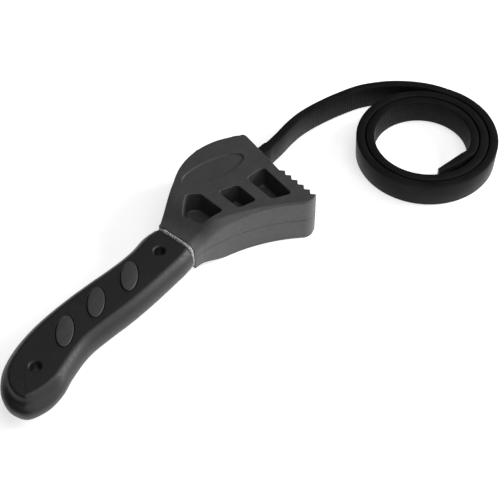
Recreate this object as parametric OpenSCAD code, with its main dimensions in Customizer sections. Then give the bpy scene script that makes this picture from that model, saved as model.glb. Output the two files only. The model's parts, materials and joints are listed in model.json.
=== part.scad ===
// Rubber strap wrench for oil filters.
// Origin: axis of the rear hang hole, on the parting plane. +X runs along the
// handle to the head, +Z is up through the thickness. All sizes in millimetres.

/* [Head] */
// Thickness of the head
head_thickness = 28; // [26:0.5:36]
// Thickness of the web between the upper and the lower pockets
pocket_web = 3; // [2:0.5:6]
// Corner radius of the pockets
pocket_corner = 2; // [1:0.25:2.5]
// Depth of the oval badge recess
badge_depth = 0.8; // [0.4:0.1:1.5]
// Number of jaw teeth
tooth_count = 6; // [4:1:6]
// Distance from one jaw tooth to the next
tooth_pitch = 4.7; // [3.5:0.1:4.8]
// Height of a jaw tooth
tooth_height = 2; // [1:0.25:3]

/* [Neck] */
// Width of the neck and its collar
neck_width = 25; // [21:0.5:29]
// Thickness of the neck and its collar
neck_thickness = 17; // [15:0.5:22]
// Thickness of the collar along the handle
collar_length = 2; // [1.5:0.25:3]

/* [Handle] */
// Distance between the two hang holes
hole_spacing = 92; // [78:1:112]
// Diameter of the hang holes
hole_diameter = 5.5; // [4:0.25:7]
// Thickness of the soft grip
grip_thickness = 15.5; // [14:0.5:20]
// Radius of the rounded edge of the grip
grip_edge_radius = 6; // [3:0.5:7]
// Thickness of the tang inside the grip
tang_thickness = 7; // [5:0.5:8]
// Wall of grip rubber around the edge of the tang
grip_wall = 6; // [4:0.5:7]
// Wall of grip rubber that lines each hang hole
sleeve_wall = 2; // [1.5:0.25:3]

/* [Pads] */
// Length of an oval pad
pad_length = 19.5; // [16:0.5:23]
// Width of an oval pad
pad_width = 8.8; // [7:0.2:10.8]
// Distance from one pad to the next along the handle
pad_pitch = 22.8; // [18:0.2:24]
// Height of a pad above the grip
pad_height = 0.7; // [0.3:0.1:1.5]

/* [Strap] */
// Width of the strap
strap_width = 14.5; // [12:0.5:18]
// Thickness of the strap
strap_thickness = 5; // [4:0.25:6]
// Thickness of the moulded root of the strap
root_thickness = 6; // [5:0.25:7]
// Diameter of the bead that holds the strap in the head
bead_diameter = 7.2; // [6.5:0.1:9]
// Height of that bead
bead_height = 15.5; // [15:0.5:23]
// Inner radius of the coiled free end
coil_inner_radius = 23.9; // [20:0.1:26]
// Outer radius of the coiled free end
coil_outer_radius = 42; // [38:0.1:44]

/* [Fits] */
// Clearance between the strap and its slot, all round
slot_clearance = 0.6; // [0.4:0.1:1]
// Clearance around the bead in its seat
bead_clearance = 0.4; // [0.3:0.1:0.8]
// Clearance between the moving strap and its moulded root
flex_clearance = 0.3; // [0.2:0.05:0.6]
// Clearance between the soft grip and the pieces that it is moulded on
bond_clearance = 0.1; // [0.05:0.05:0.3]
// Clearance between the collar and the shoulder of the head
collar_clearance = 0.3; // [0.2:0.1:0.6]

/* [Hidden] */
$fn = 48;

// Head: places are measured from the front hang hole
head_half = head_thickness / 2;
neck_half = neck_thickness / 2;
nose = [88.8, 13.5];
jaw_start = [78.8, -17.7];
jaw_angle = -99.2;
hump_centre = [58, -12.5];
hump_radius = 39.7;
hump_from = 41;
hump_to = 118;
belly_centre = [-2.8, -108];
belly_radius = 96.3;
belly_from = 78.5;
belly_to = 44;
heel_centre = [72.3, -38.3];
heel_radius = 6.2;
heel_from = 222;
heel_to = 292;
shoulder_from = 14;
shoulder_to = 33;

// Neck: a plane across the handle, a little out of square with it
neck_centre = [12.8, -1];
neck_tilt = -2;
neck_corner = 4;
core_inset = 2.5;
grip_end = collar_length + 2 * collar_clearance;

// Strap slot and the seat of its bead
bead_place = [67.5, 27.3];
slot_exit = [85.2, 3.9];
flex_place = [96, 2];
root_path = [bead_place, [75.5, 16.6], [81, 9.2], [85.2, 4.9], [90, 2.4], flex_place];
slot_height = strap_width + 2 * slot_clearance;
coil_centre = [160, -58.4];
rest_drop = head_half - strap_width / 2;

badge_centre = [57.5, 10.8];
badge_half = [19, 6.8];
badge_tilt = -20;

hole_radius = hole_diameter / 2;
grip_half = grip_thickness / 2;
tang_half = tang_thickness / 2;
over = 1;

// Route of the strap from its root to the coil, measured from the front hang
// hole, as plan place and share of the drop from the slot to the bench
strap_route = [
    [96, 2, 0], [106, 2.6, 0.06], [118, 3.8, 0.24], [130, 3.9, 0.48], [144, 1.8, 0.74],
    [158, -2.2, 0.92], [171, -8, 1], [182.5, -17.8, 1], [190.4, -28.2, 1],
];

// Edge of the grip, from the neck along the upper side, round the butt and
// back along the lower side. Lengths are shares of the hole spacing.
grip_edge = [
    [1.26, 6.5], [1.2, 11.8], [1.1, 14.1], [1.03, 14.8], [0.91, 13.9], [0.76, 15], [0.6, 17.2],
    [0.41, 19.2], [0.22, 19.8], [0.05, 18.2], [-0.09, 14.2], [-0.188, 7.6], [-0.238, 0],
    [-0.246, -6.8], [-0.203, -12.9], [-0.1, -16.2], [0.01, -16.3], [0.12, -13.9], [0.28, -11.3],
    [0.44, -12.3], [0.6, -14.1], [0.76, -15], [0.92, -15.3], [1.05, -15.2], [1.15, -13.6],
    [1.24, -9], [1.28, -1],
];

function mix(a, b, t) = a + (b - a) * t;
function turned(p, angle) = [p.x * cos(angle) - p.y * sin(angle), p.x * sin(angle) + p.y * cos(angle)];
function unit(v) = v / norm(v);
function smooth(t) = let (c = max(0, min(1, t))) c * c * (3 - 2 * c);
function arc(centre, radius, from, to, steps) =
    [for (i = [0:steps]) let (a = mix(from, to, i / steps)) centre + radius * [cos(a), sin(a)]];
function oval(centre, half, tilt, steps = 40) =
    [for (i = [0:steps - 1]) let (a = 360 * i / steps) centre + turned([half.x * cos(a), half.y * sin(a)], tilt)];

// One point of a smooth curve through p1 and p2, with p0 and p3 as its neighbours
function curve_point(p0, p1, p2, p3, t) =
    0.5 * (2 * p1 + (p2 - p0) * t + (2 * p0 - 5 * p1 + 4 * p2 - p3) * t * t + (3 * p1 - p0 - 3 * p2 + p3) * t * t * t);
function closed_curve(p, steps) = let (n = len(p))
    [for (i = [0:n - 1], k = [0:steps - 1])
        curve_point(p[(i + n - 1) % n], p[i], p[(i + 1) % n], p[(i + 2) % n], k / steps)];
function open_curve(p, steps) = let (n = len(p))
    concat([for (i = [0:n - 2], k = [0:steps - 1])
        curve_point(p[max(i - 1, 0)], p[i], p[i + 1], p[min(i + 2, n - 1)], k / steps)], [p[n - 1]]);

// A closed outline, listed counter-clockwise, moved inwards by a distance
function inset(p, distance) = let (n = len(p))
    [for (i = [0:n - 1]) let (along = unit(p[(i + 1) % n] - p[(i + n - 1) % n])) p[i] + distance * [-along.y, along.x]];

// A polygon whose corners are eased over a length on both sides
function eased(p, length, steps = 4) = let (n = len(p))
    [for (i = [0:n - 1]) let (
            start = p[i] + length * unit(p[(i + n - 1) % n] - p[i]),
            end = p[i] + length * unit(p[(i + 1) % n] - p[i])
        ) for (k = [0:steps]) let (t = k / steps)
            (1 - t) * (1 - t) * start + 2 * t * (1 - t) * p[i] + t * t * end];

jaw_along = [cos(jaw_angle), sin(jaw_angle)];
jaw_out = [-jaw_along.y, jaw_along.x];
function tooth_root(i) = jaw_start + i * tooth_pitch * jaw_along;
function tooth_tip(i) = tooth_root(i + 0.5) + tooth_height * jaw_out;

function head_outline() = concat(
    arc(hump_centre, hump_radius, hump_from, hump_to, 24),
    [neck_centre + turned([over, neck_width / 2], neck_tilt)],
    [neck_centre + turned([0, neck_width / 2], neck_tilt)],
    [neck_centre - turned([0, neck_width / 2], neck_tilt)],
    arc(belly_centre, belly_radius, belly_from, belly_to, 16),
    arc(heel_centre, heel_radius, heel_from, heel_to, 8),
    [for (i = [tooth_count - 1:-1:0]) each [tooth_tip(i), tooth_root(i)]],
    [nose]
);

// Half the thickness of the head at a place along the handle
function head_rise(x) = mix(neck_half, head_half, smooth((x - shoulder_from) / (shoulder_to - shoulder_from)));

pockets = [
    [[34.2, 10.4], [23.6, 4.2], [24.6, -8], [37.6, -12], [39.5, 5.3]],
    [[46.3, -1.5], [44, -17.2], [54, -21.2], [56.5, -6.5]],
    [[63.4, -7.4], [59.6, -27], [69.2, -32.9], [75.2, -9.7]],
];

slot_along = unit(slot_exit - bead_place);
slot_side = [-slot_along.y, slot_along.x];
slot_reach = root_thickness / 2 + slot_clearance;
slot_outline = [
    bead_place - 8 * slot_along + slot_reach * slot_side,
    [57.5, 34],
    [57.5, -3],
    [82.4, -7],
    [96, -10.4],
    slot_exit + 6 * slot_along + slot_reach * slot_side,
];

grip_outline = closed_curve([for (p = grip_edge) [p.x * hole_spacing, p.y]], 4);
tang_outline = inset(grip_outline, grip_wall);
pad_places = [for (i = [-1:1]) [0.512 * hole_spacing + i * pad_pitch, i > 0 ? 1.1 : 3.1]];
pad_tilt = 37.5;

// Section across the strap: half thickness and half width, with eased corners
strap_section = let (t = strap_thickness / 2, w = strap_width / 2, c = 0.8)
    [[t, c - w], [t, w - c], [t - c, w], [c - t, w], [-t, w - c], [-t, c - w], [c - t, -w], [t - c, -w]];
strap_line = [for (p = open_curve(strap_route, 3)) [p.x, p.y, -min(p.z, 1) * rest_drop]];
run_start = strap_thickness / 2 + flex_clearance;

module at_head() { translate([hole_spacing, 0, 0]) children(); }

// A slab with a rounded edge all round its outline. Its flats are laid as
// strips from one side to the other, so the outline has an even number of points.
module rounded_slab(outline, thickness, radius) {
    n = len(outline);
    levels = concat([for (a = [-90:22.5:0]) [a, -1]], [for (a = [0:22.5:90]) [a, 1]]);
    rings = [for (l = levels) let (z = l[1] * (thickness / 2 - radius) + radius * sin(l[0]))
        [for (p = inset(outline, radius * (1 - cos(l[0])))) [p.x, p.y, z]]];
    last = len(rings) - 1;
    polyhedron(
        points = [for (r = rings) each r],
        faces = concat(
            [for (i = [0:n / 2 - 2]) [i, i + 1, n - 2 - i, n - 1 - i]],
            [for (i = [0:n / 2 - 2]) [for (j = [n - 1 - i, n - 2 - i, i + 1, i]) last * n + j]],
            [for (k = [0:last - 1], i = [0:n - 1]) let (j = (i + 1) % n)
                [k * n + i, (k + 1) * n + i, (k + 1) * n + j, k * n + j]]
        ),
        convexity = 6
    );
}

// A section swept along a line of places, upright all the way
module swept_strip(line, section) {
    n = len(section);
    last = len(line) - 1;
    rings = [for (k = [0:last]) let (
            d = line[min(k + 1, last)] - line[max(k - 1, 0)],
            across = [-unit([d.x, d.y]).y, unit([d.x, d.y]).x]
        ) [for (s = section) [line[k].x + s[0] * across.x, line[k].y + s[0] * across.y, line[k].z + s[1]]]];
    polyhedron(
        points = [for (r = rings) each r],
        faces = concat(
            [[for (i = [n - 1:-1:0]) i]],
            [[for (i = [0:n - 1]) last * n + i]],
            [for (k = [0:last - 1], i = [0:n - 1]) let (j = (i + 1) % n)
                [k * n + i, k * n + j, (k + 1) * n + j, (k + 1) * n + i]]
        ),
        convexity = 6
    );
}

// Rounded block across the handle at the neck, standing on the neck plane
module neck_block(length, inwards = 0) {
    half = [neck_width / 2 - inwards, neck_half - inwards];
    outline = eased([[half.x, half.y], [-half.x, half.y], [-half.x, -half.y], [half.x, -half.y]], neck_corner);
    translate([neck_centre.x, neck_centre.y, 0])
        rotate([0, 0, neck_tilt])
            rotate([90, 0, 90]) linear_extrude(length) polygon(outline);
}

// Everything on the handle side of a plane parallel to the neck plane
module handle_side(offset_along) {
    reach = 2 * hole_spacing;
    translate([neck_centre.x, neck_centre.y, 0])
        rotate([0, 0, neck_tilt])
            translate([offset_along - reach, -reach / 2, -reach / 2]) cube(reach);
}

module hang_holes(radius, height) {
    for (x = [0, hole_spacing]) translate([x, 0, -height / 2]) cylinder(r = radius, h = height);
}

module tang(clearance) {
    difference() {
        intersection() {
            linear_extrude(tang_thickness + 2 * clearance, center = true)
                polygon(inset(tang_outline, -clearance));
            at_head() handle_side(clearance - grip_end);
        }
        hang_holes(hole_radius + sleeve_wall - clearance, 2 * grip_thickness);
    }
}

module pads(clearance) {
    for (place = pad_places)
        linear_extrude(grip_thickness + 2 * pad_height + 2 * clearance, center = true)
            polygon(oval(place, [pad_length / 2 + clearance, pad_width / 2 + clearance], pad_tilt));
}

module head_body() {
    intersection() {
        linear_extrude(head_thickness, center = true) polygon(head_outline());
        translate([0, nose.x, 0]) rotate([90, 0, 0]) linear_extrude(2 * nose.x) polygon(concat(
            [for (i = [0:20]) let (x = mix(0, nose.x + over, i / 20)) [x, -head_rise(x)]],
            [for (i = [20:-1:0]) let (x = mix(0, nose.x + over, i / 20)) [x, head_rise(x)]]
        ));
    }
}

module head_cuts() {
    for (side = [-1, 1], p = pockets)
        translate([0, 0, side > 0 ? pocket_web / 2 : -pocket_web / 2 - head_thickness])
            linear_extrude(head_thickness) polygon(eased(p, pocket_corner));
    translate([0, 0, head_half - badge_depth])
        linear_extrude(badge_depth + over) polygon(oval(badge_centre, badge_half, badge_tilt));
    linear_extrude(slot_height, center = true) polygon(slot_outline);
    translate([bead_place.x, bead_place.y, -bead_height / 2 - bead_clearance])
        cylinder(d = bead_diameter + 2 * bead_clearance, h = bead_height + 2 * bead_clearance);
}

// One moulding: the head, its neck, the tang in the grip and the oval pads
module head_frame() {
    color("dimgray") {
        at_head() difference() {
            head_body();
            head_cuts();
        }
        at_head() translate([-grip_end - over, 0, 0]) neck_block(grip_end + 2 * over, core_inset);
        tang(0);
        pads(0);
    }
}

// Soft rubber moulded over the tang
module grip_sleeve() {
    color([0.12, 0.12, 0.12]) difference() {
        intersection() {
            rounded_slab(grip_outline, grip_thickness, grip_edge_radius);
            at_head() handle_side(-grip_end);
        }
        tang(bond_clearance);
        pads(bond_clearance);
        at_head() translate([-grip_end - over - bond_clearance, 0, 0])
            neck_block(2 * collar_length, core_inset - bond_clearance);
        hang_holes(hole_radius, 2 * grip_thickness);
    }
}

// Pale band that closes the joint between the grip and the head
module collar_band() {
    color("silver") at_head() translate([-collar_length - collar_clearance, 0, 0]) difference() {
        neck_block(collar_length);
        translate([-over, 0, 0]) neck_block(collar_length + 2 * over, core_inset - bond_clearance);
    }
}

// Moulded end of the strap: the bead, and the root that passes through the slot
module strap_root() {
    half = root_thickness / 2;
    path = open_curve(root_path, 4);
    n = len(path);
    sides = [for (i = [0:n - 1]) let (d = unit(path[min(i + 1, n - 1)] - path[max(i - 1, 0)])) [-d.y, d.x]];
    color([0.1, 0.1, 0.1]) at_head() {
        linear_extrude(strap_width, center = true) polygon(concat(
            [for (i = [0:n - 1]) path[i] + half * sides[i]],
            [for (i = [n - 1:-1:0]) path[i] - half * sides[i]]
        ));
        translate([flex_place.x, flex_place.y, -strap_width / 2])
            cylinder(r = strap_thickness / 2, h = strap_width);
        translate([bead_place.x, bead_place.y, -bead_height / 2])
            cylinder(d = bead_diameter, h = bead_height);
    }
}

// Free length of the strap, from its root to the coil
module strap_run() {
    start = strap_line[0] + run_start * unit(strap_line[1] - strap_line[0]);
    color([0.1, 0.1, 0.1]) at_head()
        swept_strip(concat([start], [for (i = [2:len(strap_line) - 1]) strap_line[i]]), strap_section);
}

// Coiled free end, as the ring that its turns fill
module strap_coil() {
    color([0.1, 0.1, 0.1]) at_head() translate([coil_centre.x, coil_centre.y, -head_half])
        rotate_extrude($fn = 96)
            translate([coil_inner_radius, 0]) square([coil_outer_radius - coil_inner_radius, strap_width]);
}

head_frame();
grip_sleeve();
collar_band();
strap_root();
strap_run();
strap_coil();
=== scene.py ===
"""Rubber strap wrench for oil filters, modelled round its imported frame.

Lengths in this file are millimetres in the frame's own axes, and MM turns them to metres where a
mesh is made. The origin is the axis of the rear hang hole at mid thickness, +X runs along the
handle to the head and +Z is up. The tool lies flat on a table at the head's underside.
"""
import json
import logging
import math
from collections.abc import Callable
from dataclasses import dataclass, field
from enum import Enum
from functools import partial

import bmesh
import bpy
import numpy as np
from mathutils import Matrix, Vector
from mathutils.kdtree import KDTree


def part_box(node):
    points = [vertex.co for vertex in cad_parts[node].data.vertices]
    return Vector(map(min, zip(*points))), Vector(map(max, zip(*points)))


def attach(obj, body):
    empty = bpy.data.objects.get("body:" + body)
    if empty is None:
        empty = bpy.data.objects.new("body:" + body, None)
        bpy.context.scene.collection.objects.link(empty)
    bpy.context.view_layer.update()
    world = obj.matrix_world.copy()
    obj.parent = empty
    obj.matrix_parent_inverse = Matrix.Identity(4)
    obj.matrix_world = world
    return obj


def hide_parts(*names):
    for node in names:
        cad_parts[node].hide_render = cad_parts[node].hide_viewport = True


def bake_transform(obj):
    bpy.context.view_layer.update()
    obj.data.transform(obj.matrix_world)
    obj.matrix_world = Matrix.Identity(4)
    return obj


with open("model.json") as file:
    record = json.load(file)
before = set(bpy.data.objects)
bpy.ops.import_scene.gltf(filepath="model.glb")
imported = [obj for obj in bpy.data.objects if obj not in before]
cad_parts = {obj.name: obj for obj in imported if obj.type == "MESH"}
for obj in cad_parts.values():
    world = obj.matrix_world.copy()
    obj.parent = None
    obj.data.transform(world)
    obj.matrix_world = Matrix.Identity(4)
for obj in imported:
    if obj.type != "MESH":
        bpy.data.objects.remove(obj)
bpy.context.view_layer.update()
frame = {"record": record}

log = logging.getLogger("strap_wrench")
MM = 0.001
Outline = list[Vector]


class Body(Enum):
    """Bodies of the frame that pieces ride on."""

    WRENCH = "wrench"
    STRAP = "strap"


class Slot(Enum):
    """Material slots of the record."""

    FRAME = "frame_plastic"
    GRIP = "grip_rubber"
    COLLAR = "collar_plastic"
    STRAP = "strap_rubber"


# ---------------------------------------------------------------- plan outlines


def mix(a: float, b: float, share: float) -> float:
    """Returns the value a share of the way from a to b."""
    return a + (b - a) * share


def smooth(share: float) -> float:
    """Returns a share from 0 to 1, eased at both ends."""
    held = max(0.0, min(1.0, share))
    return held * held * (3 - 2 * held)


def turned(point: Vector, angle: float) -> Vector:
    """Returns a plan point turned about the origin by an angle in degrees."""
    return Matrix.Rotation(math.radians(angle), 2) @ point


def plan(*pairs: tuple[float, float]) -> Outline:
    """Returns plan points for pairs of numbers."""
    return [Vector(pair) for pair in pairs]


def arc(centre: Vector, radius: float, start: float, end: float, steps: int) -> Outline:
    """Draws points along an arc.

    Args:
        centre: Centre of the arc.
        radius: Its radius.
        start: First angle in degrees.
        end: Last angle in degrees.
        steps: Number of stretches.

    Returns:
        The arc's points, both ends included.
    """
    angles = [math.radians(mix(start, end, i / steps)) for i in range(steps + 1)]
    return [centre + radius * Vector((math.cos(a), math.sin(a))) for a in angles]


def oval(centre: Vector, half: tuple[float, float], tilt: float, steps: int = 48) -> Outline:
    """Draws an oval.

    Args:
        centre: Its centre.
        half: Half its length and half its width.
        tilt: Its turn in degrees.
        steps: Number of points.

    Returns:
        The oval's points, counter-clockwise.
    """
    angles = [math.tau * i / steps for i in range(steps)]
    flat = [Vector((half[0] * math.cos(a), half[1] * math.sin(a))) for a in angles]
    return [centre + turned(point, tilt) for point in flat]


def oval_inside(centre: Vector, half: tuple[float, float], tilt: float, inwards: float) -> Outline:
    """Draws an oval, moved in by a distance."""
    return oval(centre, (half[0] - inwards, half[1] - inwards), tilt, 64)


def eased_corner(
    before: Vector, corner: Vector, after: Vector, length: float, steps: int = 6
) -> Outline:
    """Eases one corner.

    Args:
        before: The point before the corner.
        corner: The corner.
        after: The point after it.
        length: How far from the corner its easing starts and ends.
        steps: Number of stretches round it.

    Returns:
        The points that stand in for the corner.
    """
    start = corner + length * (before - corner).normalized()
    end = corner + length * (after - corner).normalized()
    shares = [k / steps for k in range(steps + 1)]
    return [(1 - t) ** 2 * start + 2 * t * (1 - t) * corner + t * t * end for t in shares]


def eased(corners: Outline, length: float, steps: int = 6) -> Outline:
    """Eases every corner of a polygon.

    Args:
        corners: The polygon.
        length: How far from each corner its easing starts and ends.
        steps: Number of stretches round a corner.

    Returns:
        The eased outline.
    """
    nexts = corners[1:] + corners[:1]
    return [
        point
        for i, corner in enumerate(corners)
        for point in eased_corner(corners[i - 1], corner, nexts[i], length, steps)
    ]


def curve_point(p0: Vector, p1: Vector, p2: Vector, p3: Vector, t: float) -> Vector:
    """Finds a point on a smooth curve.

    Args:
        p0: The point before the stretch.
        p1: Its start.
        p2: Its end.
        p3: The point after it.
        t: Share of the way along it.

    Returns:
        The point.
    """
    first = 2 * p1 + (p2 - p0) * t
    second = (2 * p0 - 5 * p1 + 4 * p2 - p3) * t * t
    third = (3 * p1 - p0 - 3 * p2 + p3) * t**3
    return 0.5 * (first + second + third)


def closed_curve(points: Outline, steps: int) -> Outline:
    """Draws a smooth closed curve.

    Args:
        points: The points that it runs through.
        steps: Number of stretches between each two.

    Returns:
        The curve's points.
    """
    n = len(points)
    return [
        curve_point(points[i - 1], points[i], points[(i + 1) % n], points[(i + 2) % n], k / steps)
        for i in range(n)
        for k in range(steps)
    ]


def open_curve(points: Outline, steps: int) -> Outline:
    """Draws a smooth open curve.

    Args:
        points: The points that it runs through.
        steps: Number of stretches between each two.

    Returns:
        The curve's points, both ends included.
    """
    last = len(points) - 1
    made = [
        curve_point(points[max(i - 1, 0)], points[i], points[i + 1], points[min(i + 2, last)], k / steps)
        for i in range(last)
        for k in range(steps)
    ]
    return [*made, points[last]]


def moved_in(outline: Outline, distance: float | list[float]) -> Outline:
    """Moves an outline inwards, square to its sides.

    Args:
        outline: Points, counter-clockwise.
        distance: How far, for the whole outline or for each point. Negative is outwards.

    Returns:
        The moved points.
    """
    made = []
    for i, point in enumerate(outline):
        before = (point - outline[i - 1]).normalized()
        after = (outline[(i + 1) % len(outline)] - point).normalized()
        normals = Vector((-before.y, before.x)) + Vector((-after.y, after.x))
        step = distance if isinstance(distance, float) else distance[i]
        made.append(point + step * normals / (1 + before.dot(after)))
    return made


def level(outline: Outline, height: float | list[float]) -> list[Vector]:
    """Lifts a plan outline to a height, for the whole ring or for each point."""
    heights = [height] * len(outline) if isinstance(height, float) else height
    return [Vector((p.x, p.y, z)) for p, z in zip(outline, heights)]


# ---------------------------------------------------------------- modelling tools


def clear_selection() -> None:
    """Deselects everything."""
    bpy.ops.object.select_all(action="DESELECT")


def make_active(piece: bpy.types.Object) -> None:
    """Selects one piece alone and makes it the active one."""
    clear_selection()
    piece.select_set(True)
    bpy.context.view_layer.objects.active = piece


def loft(name: str, rings: list[list[Vector]]) -> bpy.types.Object:
    """Raises a closed shell ring by ring from a filled circle.

    Args:
        name: The piece's name.
        rings: Rings of equally many places in millimetres, from one cap to the other.

    Returns:
        The piece, with its place in its mesh.
    """
    clear_selection()
    lift = 1.0
    bpy.ops.mesh.primitive_circle_add(vertices=len(rings[0]), radius=lift, fill_type="NGON")
    piece = bpy.context.object
    piece.name = piece.data.name = name
    for vertex, place in zip(piece.data.vertices, rings[0]):
        vertex.co = place * MM
    bpy.ops.object.mode_set(mode="EDIT")
    bpy.ops.mesh.select_all(action="SELECT")
    for previous, ring in zip(rings, rings[1:]):
        bpy.ops.mesh.extrude_region_move(TRANSFORM_OT_translate={"value": (0, 0, lift)})
        mesh = bmesh.from_edit_mesh(piece.data)
        tree = KDTree(len(previous))
        for i, place in enumerate(previous):
            tree.insert(place * MM + Vector((0, 0, lift)), i)
        tree.balance()
        for vertex in [v for v in mesh.verts if v.select]:
            vertex.co = ring[tree.find(vertex.co)[1]] * MM
        bmesh.update_edit_mesh(piece.data)
    bpy.ops.mesh.select_all(action="SELECT")
    bpy.ops.mesh.normals_make_consistent(inside=False)
    if bmesh.from_edit_mesh(piece.data).calc_volume(signed=True) < 0:
        bpy.ops.mesh.flip_normals()
    bpy.ops.object.mode_set(mode="OBJECT")
    return piece


def apply_modifier(piece: bpy.types.Object, kind: str, **settings: object) -> None:
    """Adds a modifier to a piece and applies it.

    Args:
        piece: The piece.
        kind: The modifier's type.
        settings: Its properties.
    """
    make_active(piece)
    modifier = piece.modifiers.new(kind.title(), kind)
    for key, value in settings.items():
        setattr(modifier, key, value)
    bpy.ops.object.modifier_apply(modifier=modifier.name)


def combine(
    piece: bpy.types.Object, others: list[bpy.types.Object], operation: str = "DIFFERENCE"
) -> None:
    """Cuts other shells out of a piece, or fuses them to it.

    Args:
        piece: The piece that stays.
        others: Closed shells, which are used up.
        operation: DIFFERENCE or UNION.
    """
    for other in others:
        apply_modifier(piece, "BOOLEAN", object=other, operation=operation, solver="EXACT")
        bpy.data.objects.remove(other)


def bisect(piece: bpy.types.Object, place: Vector, normal: Vector, drop: bool = False) -> None:
    """Cuts a piece's mesh along a plane.

    Args:
        piece: The piece.
        place: A place on the plane, in millimetres.
        normal: The plane's normal.
        drop: Whether what lies against the normal is dropped and the cut is filled.
    """
    make_active(piece)
    bpy.ops.object.mode_set(mode="EDIT")
    bpy.ops.mesh.select_all(action="SELECT")
    bpy.ops.mesh.bisect(plane_co=place * MM, plane_no=normal, clear_inner=drop, use_fill=drop)
    bpy.ops.object.mode_set(mode="OBJECT")


def bevel_on_plane(
    piece: bpy.types.Object, place: Vector, normal: Vector, width: float, segments: int
) -> None:
    """Rounds the edges of a piece that lie on a plane.

    Args:
        piece: The piece.
        place: A place on the plane, in millimetres.
        normal: The plane's normal.
        width: Width of the rounding in millimetres.
        segments: Number of its stretches.
    """
    near = 0.01 * MM
    make_active(piece)
    bpy.ops.object.mode_set(mode="EDIT")
    bpy.ops.mesh.select_mode(type="EDGE")
    bpy.ops.mesh.select_all(action="DESELECT")
    mesh = bmesh.from_edit_mesh(piece.data)
    unit = normal.normalized()
    for edge in mesh.edges:
        edge.select = all(abs((v.co - place * MM).dot(unit)) < near for v in edge.verts)
    mesh.select_flush_mode()
    bmesh.update_edit_mesh(piece.data)
    bpy.ops.mesh.bevel(offset=width * MM, segments=segments, affect="EDGES", clamp_overlap=True)
    bpy.ops.mesh.select_mode(type="VERT")
    bpy.ops.object.mode_set(mode="OBJECT")


def smooth_shading(piece: bpy.types.Object, angle: float) -> None:
    """Shades a piece smooth, with its flats kept flat.

    Args:
        piece: The piece.
        angle: Edges sharper than this many degrees stay sharp.
    """
    make_active(piece)
    bpy.ops.object.shade_smooth_by_angle(angle=math.radians(angle))
    apply_modifier(piece, "WEIGHTED_NORMAL", keep_sharp=True)


def rim_rings(outline: Outline, half: float, reach: list[float], rise: list[float]) -> list[list[Vector]]:
    """Stacks the rings of the rounded upper edge of a slab, from its wall to its top.

    Args:
        outline: The slab's outline, counter-clockwise.
        half: Half the slab's thickness.
        reach: How far in from the outline the rounding starts, at each point.
        rise: Height of the rounding at each point.

    Returns:
        The rings, for loft().
    """
    steps = 7
    rings = []
    for k in range(steps + 1):
        angle = math.pi / 2 * k / steps
        inwards = [r * (1 - math.cos(angle)) for r in reach]
        heights = [half - h * (1 - math.sin(angle)) for h in rise]
        rings.append(level(moved_in(outline, inwards), heights))
    return rings


def mirrored(rings: list[list[Vector]]) -> list[list[Vector]]:
    """Turns rings of an upper side into those of the underside, lowest first."""
    return [[Vector((p.x, p.y, -p.z)) for p in ring] for ring in reversed(rings)]


def recess_rings(
    outline: Callable[[float], Outline], floor: float, top: float, draft: float, foot: float, rim: float
) -> list[list[Vector]]:
    """Stacks the rings of a cutter for a recess with a rounded floor corner and a rounded rim.

    Args:
        outline: Gives the recess's outline at its face, moved in by a distance.
        floor: Height of its floor.
        top: Height of the face that it is sunk in.
        draft: How much narrower it is at the floor, on each side.
        foot: Radius where wall and floor meet.
        rim: Radius of the rounded rim.

    Returns:
        The rings, for loft(), which run a little past the face.
    """
    steps = 4
    way = 1 if top > floor else -1
    rings = []
    for k in range(steps + 1):
        angle = math.pi / 2 * k / steps
        inwards = draft + foot * (1 - math.sin(angle))
        rings.append(level(outline(inwards), floor + way * foot * (1 - math.cos(angle))))
    for k in range(steps + 1):
        angle = math.radians(75) * k / steps
        inwards = -rim * (1 - math.cos(angle))
        rings.append(level(outline(inwards), top - way * rim * (1 - math.sin(angle))))
    rings.append(level(outline(-rim), top + way * rim))
    return rings


# ---------------------------------------------------------------- finishes

Colour = tuple[float, float, float, float]

# Nearly all of a noise's values lie between these two.
NOISE_LOW = 0.3
NOISE_HIGH = 0.7
# Numbers of a Mix node's sockets when it mixes colours.
MIX_FIRST = 6
MIX_SECOND = 7
MIX_RESULT = 2


def linear(code: str) -> Colour:
    """Turns an sRGB colour into a linear one.

    Args:
        code: A hex code such as #3a3a3b.

    Returns:
        The colour, with an alpha of 1.
    """
    channels = [int(code[i : i + 2], 16) / 255 for i in (1, 3, 5)]
    made = [c / 12.92 if c <= 0.04045 else ((c + 0.055) / 1.055) ** 2.4 for c in channels]
    return (*made, 1.0)


def add_node(
    tree: bpy.types.NodeTree,
    kind: str,
    links: dict[str | int, bpy.types.NodeSocket] | None = None,
    **settings: object,
) -> bpy.types.Node:
    """Adds a node with its settings and its links.

    Args:
        tree: The material's node tree.
        kind: The node's type name, without ShaderNode.
        links: Sockets that feed the node's inputs, by input name or number.
        settings: Node properties, or input values where a name is an input's in lower case with _.

    Returns:
        The node.
    """
    node = tree.nodes.new("ShaderNode" + kind)
    inputs = {socket.name.lower().replace(" ", "_"): socket for socket in reversed(node.inputs)}
    for key, value in settings.items():
        if hasattr(node, key):
            setattr(node, key, value)
        else:
            inputs[key].default_value = value
    for key, source in (links or {}).items():
        tree.links.new(source, node.inputs[key])
    return node


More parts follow.
